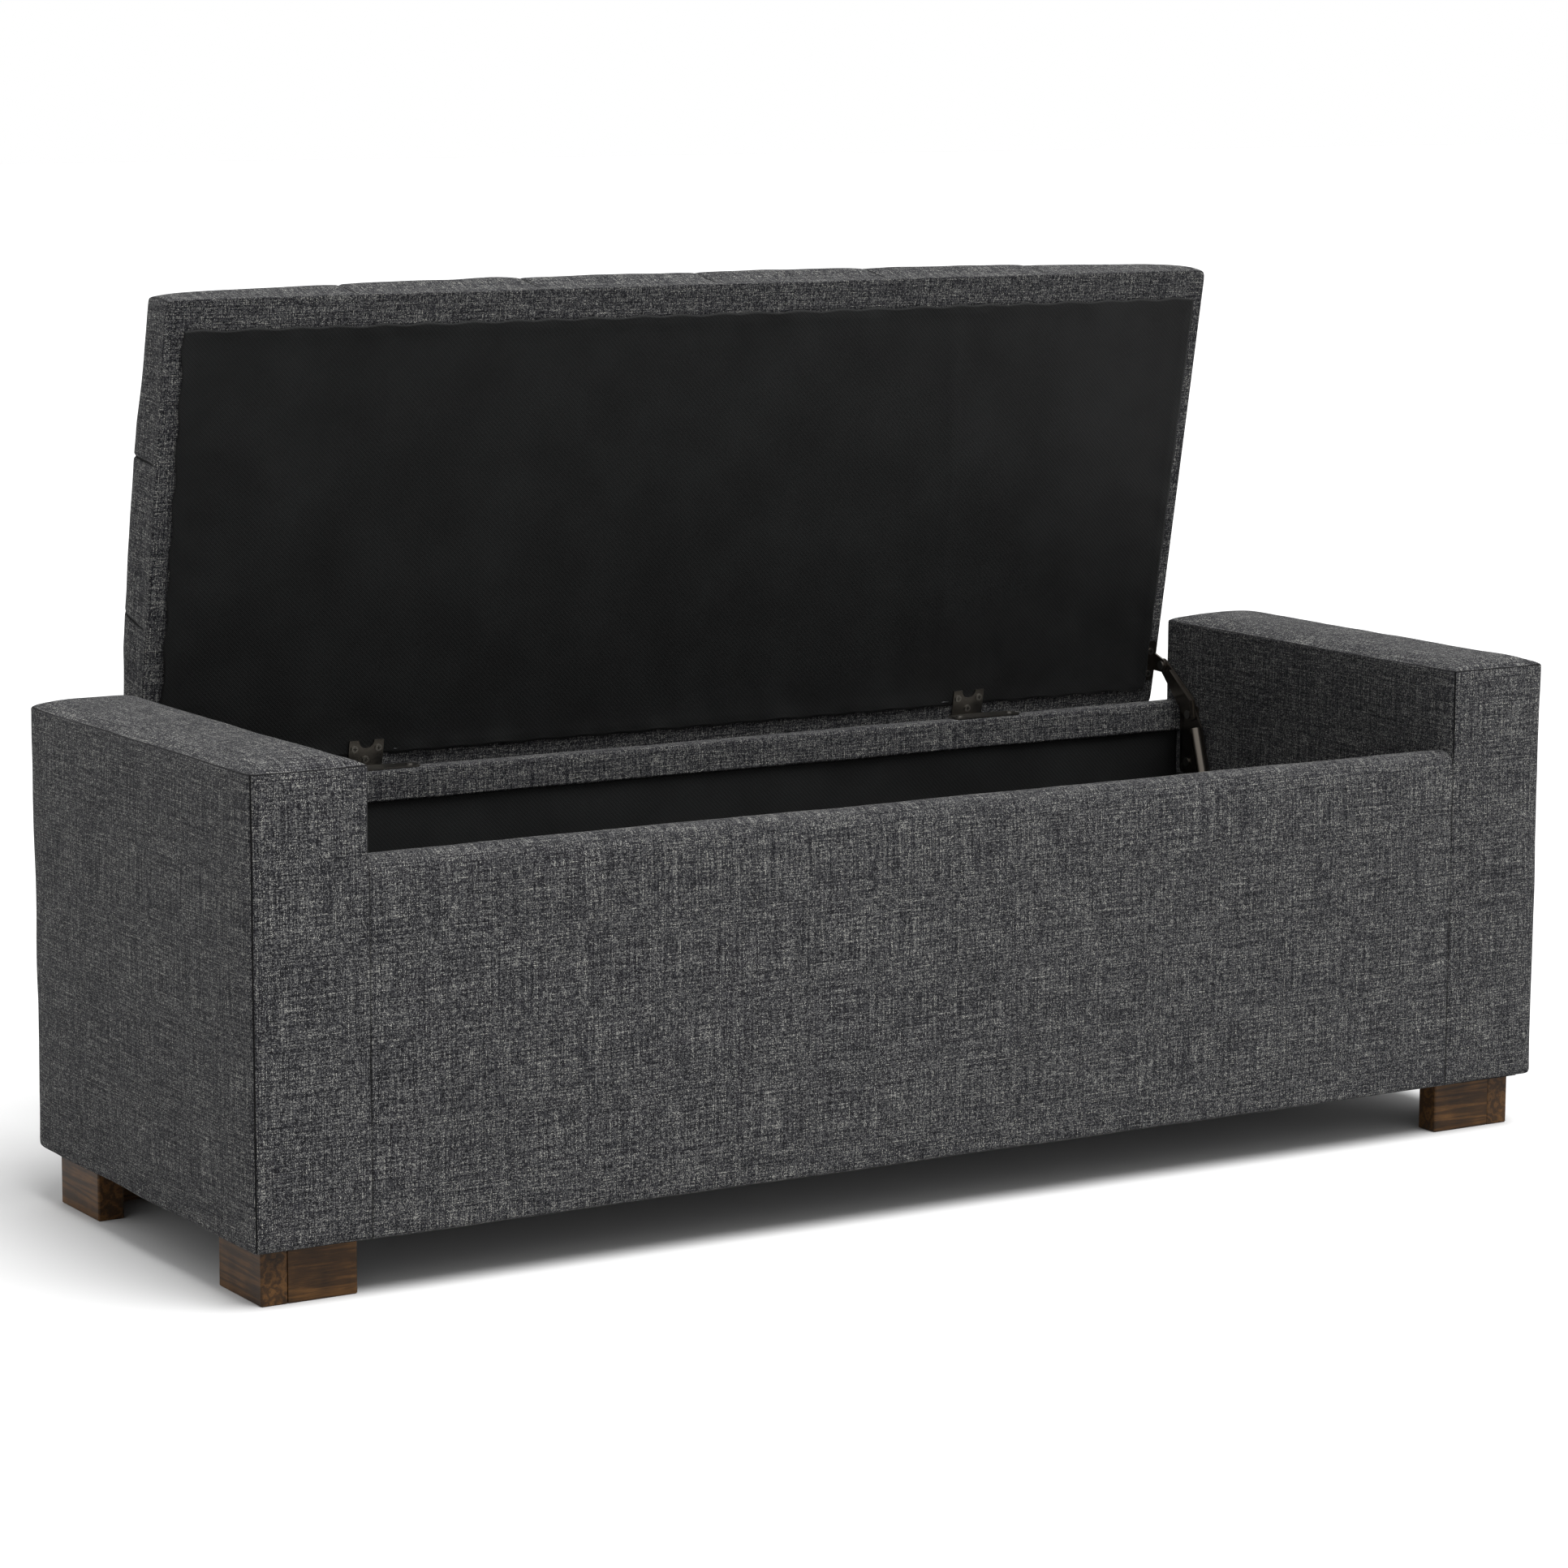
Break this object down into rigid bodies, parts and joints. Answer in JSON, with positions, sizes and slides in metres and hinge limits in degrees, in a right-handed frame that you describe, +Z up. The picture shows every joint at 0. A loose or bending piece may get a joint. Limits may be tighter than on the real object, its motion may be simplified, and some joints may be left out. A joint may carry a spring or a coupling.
{
  "type": "storage bench",
  "caption": "Upholstered storage bench with two fixed padded arms, a hinged biscuit-tufted lid on a pair of folding stays, and L-shaped wood feet.",
  "frame": {"origin": "on the floor, under the middle of the whole bench with its lid open (midway between the arms' outer sides, and midway between the arms' front faces and the rearmost part of the open lid)", "axes": "+X to the right seen from the front, +Y to the rear, +Z up; the lid is drawn open"},
  "size_m": [1.372, 0.5552, 0.8277],
  "materials": {
    "charcoal_fabric": "heathered linen-look weave",
    "black_nonwoven": "matte spunbond cloth",
    "foam": "open cell",
    "plywood": "sanded",
    "pine_batten": "planed",
    "walnut_stained_wood": "satin stain",
    "hinge_steel": "satin",
    "bronzed_steel": "satin bronze",
    "steel_screws": "plain",
    "zinc_screws": "zinc plated"
  },
  "bodies": {
    "bench": {"back_panel_board": "plywood", "back_panel_cover": "charcoal_fabric", "back_rail_padding": "foam", "body_hardware_screws": "steel_screws", "floor_cleats": "pine_batten", "foot_screws": "zinc_screws", "front_left_foot_cross_board": "walnut_stained_wood", "front_left_foot_side_board": "walnut_stained_wood", "front_panel_board": "plywood", "front_panel_cover": "charcoal_fabric", "front_panel_foam": "foam", "front_right_foot_cross_board": "walnut_stained_wood", "front_right_foot_side_board": "walnut_stained_wood", "hinge_pins": "steel_screws", "left_arm_bottom_rail": "pine_batten", "left_arm_cover": "charcoal_fabric", "left_arm_foam": "foam", "left_arm_front_post": "pine_batten", "left_arm_inner_board": "plywood", "left_arm_outer_board": "plywood", "left_arm_rear_post": "pine_batten", "left_arm_top_slat": "pine_batten", "left_hinge_fixed_leaf": "hinge_steel", "left_stay_base_plate": "bronzed_steel", "rear_left_foot_cross_board": "walnut_stained_wood", "rear_left_foot_side_board": "walnut_stained_wood", "rear_right_foot_cross_board": "walnut_stained_wood", "rear_right_foot_side_board": "walnut_stained_wood", "right_arm_bottom_rail": "pine_batten", "right_arm_cover": "charcoal_fabric", "right_arm_foam": "foam", "right_arm_front_post": "pine_batten", "right_arm_inner_board": "plywood", "right_arm_outer_board": "plywood", "right_arm_rear_post": "pine_batten", "right_arm_top_slat": "pine_batten", "right_hinge_fixed_leaf": "hinge_steel", "right_stay_base_plate": "bronzed_steel", "stay_base_rivets": "steel_screws", "storage_floor_board": "plywood", "storage_floor_lining": "black_nonwoven", "storage_wall_lining": "black_nonwoven", "underside_dust_cloth": "black_nonwoven"},
    "lid": {"left_hinge_moving_leaf": "hinge_steel", "left_stay_lid_bracket": "bronzed_steel", "lid_board": "plywood", "lid_cover": "charcoal_fabric", "lid_dust_cloth": "black_nonwoven", "lid_foam": "foam", "lid_hardware_screws": "steel_screws", "right_hinge_moving_leaf": "hinge_steel", "right_stay_lid_bracket": "bronzed_steel", "stay_lid_rivets": "steel_screws"},
    "left_lower_arm": {"left_stay_lower_arm": "bronzed_steel", "left_stay_elbow_rivet": "steel_screws"},
    "right_lower_arm": {"right_stay_lower_arm": "bronzed_steel", "right_stay_elbow_rivet": "steel_screws"},
    "left_upper_arm": {"left_stay_upper_arm": "bronzed_steel"},
    "right_upper_arm": {"right_stay_upper_arm": "bronzed_steel"}
  },
  "joints": [
    {"name": "lid_hinge", "type": "hinge", "parent": "bench", "child": "lid", "pos_m": [0, 0.18838, 0.358], "axis": [1, 0, 0], "range_deg": [0, 79.5]},
    {"name": "left_stay_base_pivot", "type": "hinge", "parent": "bench", "child": "left_lower_arm", "pos_m": [-0.5735, 0.14338, 0.312], "axis": [1, 0, 0], "range_deg": [0, 79.5]},
    {"name": "left_stay_elbow", "type": "hinge", "parent": "left_lower_arm", "child": "left_upper_arm", "pos_m": [-0.5735, 0.13938, 0.362], "axis": [1, 0, 0], "range_deg": [-79.5, 0]},
    {"name": "right_stay_base_pivot", "type": "hinge", "parent": "bench", "child": "right_lower_arm", "pos_m": [0.5735, 0.14338, 0.312], "axis": [1, 0, 0], "range_deg": [0, 79.5]},
    {"name": "right_stay_elbow", "type": "hinge", "parent": "right_lower_arm", "child": "right_upper_arm", "pos_m": [0.5735, 0.13938, 0.362], "axis": [1, 0, 0], "range_deg": [-79.5, 0]}
  ],
  "couplings": [
    {"joint": "left_stay_base_pivot", "follows": "lid_hinge", "ratio": 1},
    {"joint": "left_stay_elbow", "follows": "lid_hinge", "ratio": -1},
    {"joint": "right_stay_base_pivot", "follows": "lid_hinge", "ratio": 1},
    {"joint": "right_stay_elbow", "follows": "lid_hinge", "ratio": -1}
  ]
}
